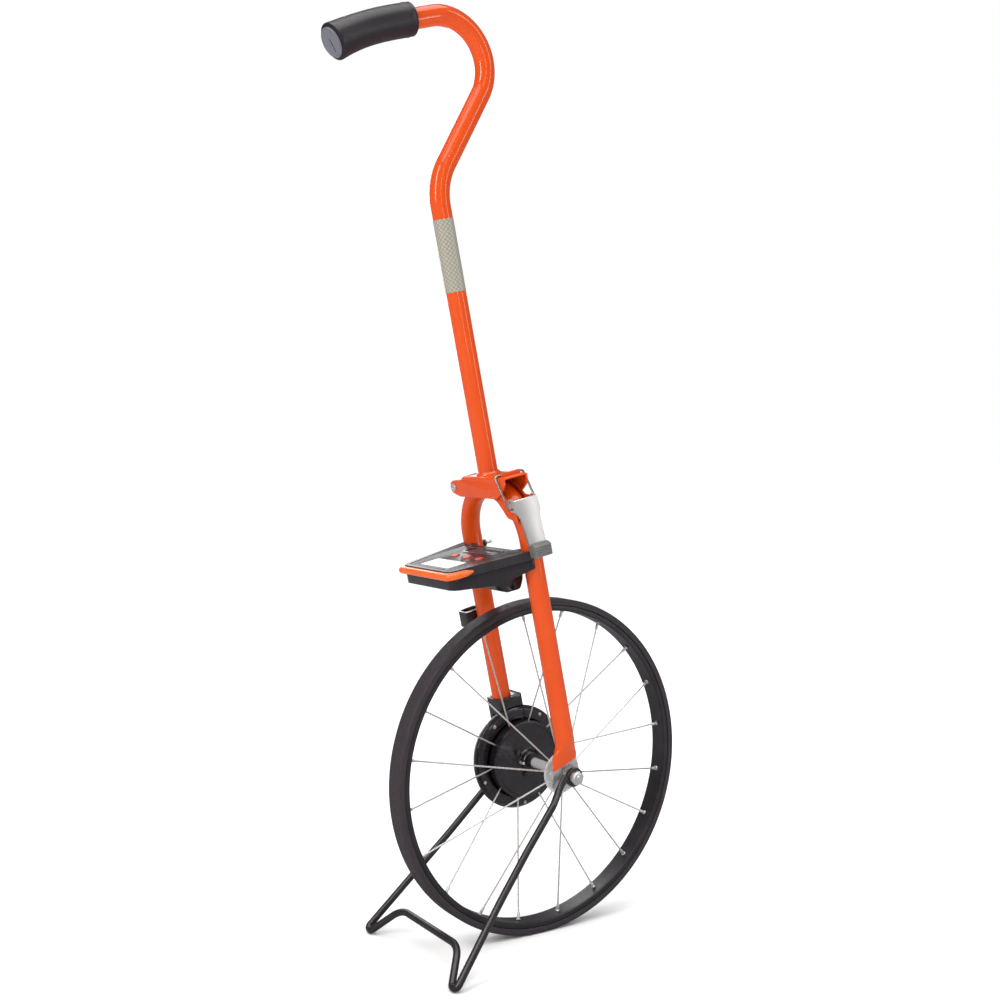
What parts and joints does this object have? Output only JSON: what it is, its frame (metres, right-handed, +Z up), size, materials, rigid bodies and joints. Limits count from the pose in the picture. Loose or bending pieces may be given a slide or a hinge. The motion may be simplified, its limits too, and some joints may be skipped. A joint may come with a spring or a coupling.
{
  "type": "measuring wheel",
  "caption": "Spoked distance-measuring wheel in a bent-tube fork with an electronic counter, sideways-folding gooseneck handle, toggle latch and wire stand.",
  "frame": {"origin": "the point of the tread that rests on the ground, under the wheel centre", "axes": "+Z up, +X the way the wheel is pushed, +Y along the axle towards the sensor housing side"},
  "size_m": [0.4867, 0.2002, 1.0299],
  "materials": {
    "orange_paint": "gloss powder coat",
    "zinc_steel": "bright zinc plated",
    "black_plastic": "fine satin moulding",
    "face_plastic": "semi-gloss",
    "orange_rubber": "satin elastomer",
    "window": "clear tinted",
    "lcd": "flat display glass",
    "circuit_board": "solder mask",
    "battery_wrap": "shrink wrap",
    "tyre_rubber": "smooth solid rubber",
    "rim_black": "satin black",
    "spoke_steel": "drawn wire",
    "chrome_hub": "polished",
    "stainless": "brushed",
    "magnet": "moulded ferrite",
    "reflective_tape": "retroreflective, prismatic",
    "grip_rubber": "soft, fine texture",
    "cap_plastic": "matte",
    "grey_plastic": "matte, ribbed",
    "black_wire": "satin black",
    "key_rubber": "satin"
  },
  "bodies": {
    "frame": {"fork_tube": "orange_paint", "head_bracket": "orange_paint", "hinge_pin": "zinc_steel", "dropout_plate": "zinc_steel", "axle": "zinc_steel", "axle_nut_near": "zinc_steel", "axle_nut_far": "zinc_steel", "sensor_housing": "black_plastic", "housing_ring": "black_plastic", "sensor_board": "circuit_board", "stand_clip": "black_plastic", "counter_base": "black_plastic", "counter_top": "face_plastic", "counter_bumper": "orange_rubber", "counter_window": "window", "counter_lcd": "lcd", "counter_board": "circuit_board", "battery": "battery_wrap", "battery_cover": "black_plastic", "counter_bolt_near": "zinc_steel", "counter_bolt_far": "zinc_steel"},
    "wheel": {"tyre": "tyre_rubber", "rim": "rim_black", "hub_shell": "chrome_hub", "hub_drum": "black_plastic", "bearing_near": "stainless", "bearing_far": "stainless", "magnet_ring": "magnet", "spoke_01": "spoke_steel", "spoke_02": "spoke_steel", "spoke_03": "spoke_steel", "spoke_04": "spoke_steel", "spoke_05": "spoke_steel", "spoke_06": "spoke_steel", "spoke_07": "spoke_steel", "spoke_08": "spoke_steel", "spoke_09": "spoke_steel", "spoke_10": "spoke_steel", "spoke_11": "spoke_steel", "spoke_12": "spoke_steel", "spoke_13": "spoke_steel", "spoke_14": "spoke_steel", "spoke_15": "spoke_steel", "spoke_16": "spoke_steel", "spoke_17": "spoke_steel", "spoke_18": "spoke_steel", "spoke_19": "spoke_steel", "spoke_20": "spoke_steel"},
    "handle": {"upper_bracket": "orange_paint", "handle_tube": "orange_paint", "reflective_band": "reflective_tape", "grip": "grip_rubber", "grip_cap": "cap_plastic"},
    "lever": {"latch_lever": "stainless", "latch_grip": "grey_plastic"},
    "bail": {"latch_bail": "stainless"},
    "stand_wire": {"stand": "black_wire"},
    "reset_key": {"key_1": "key_rubber"},
    "units_key": {"key_2": "key_rubber"},
    "power_key": {"key_3": "key_rubber"}
  },
  "joints": [
    {"name": "wheel_spin", "type": "hinge", "parent": "frame", "child": "wheel", "pos_m": [0, 0, 0.19404], "axis": [0, 1, 0], "continuous": true},
    {"name": "handle_fold", "type": "hinge", "parent": "frame", "child": "handle", "pos_m": [-0.07821, 0.0507, 0.51731], "axis": [-0.972, 0, -0.2351], "range_deg": [0, 180]},
    {"name": "latch_lever", "type": "hinge", "parent": "frame", "child": "lever", "pos_m": [-0.07501, -0.0555, 0.5041], "axis": [-0.972, 0, -0.2351], "range_deg": [0, 120]},
    {"name": "latch_bail", "type": "hinge", "parent": "handle", "child": "bail", "pos_m": [-0.0817, -0.0405, 0.53175], "axis": [-0.972, 0, -0.2351], "range_deg": [0, 100]},
    {"name": "stand_swing", "type": "hinge", "parent": "frame", "child": "stand_wire", "pos_m": [0, 0, 0.19404], "axis": [0, 1, 0], "range_deg": [0, 114]},
    {"name": "reset_key_press", "type": "slide", "parent": "frame", "child": "reset_key", "axis": [0.2351, 0, -0.972], "range_m": [0, 0.001], "stiffness_N_per_m": 600, "springref_m": -0.0005},
    {"name": "units_key_press", "type": "slide", "parent": "frame", "child": "units_key", "axis": [0.2351, 0, -0.972], "range_m": [0, 0.001], "stiffness_N_per_m": 600, "springref_m": -0.0005},
    {"name": "power_key_press", "type": "slide", "parent": "frame", "child": "power_key", "axis": [0.2351, 0, -0.972], "range_m": [0, 0.001], "stiffness_N_per_m": 600, "springref_m": -0.0005}
  ]
}
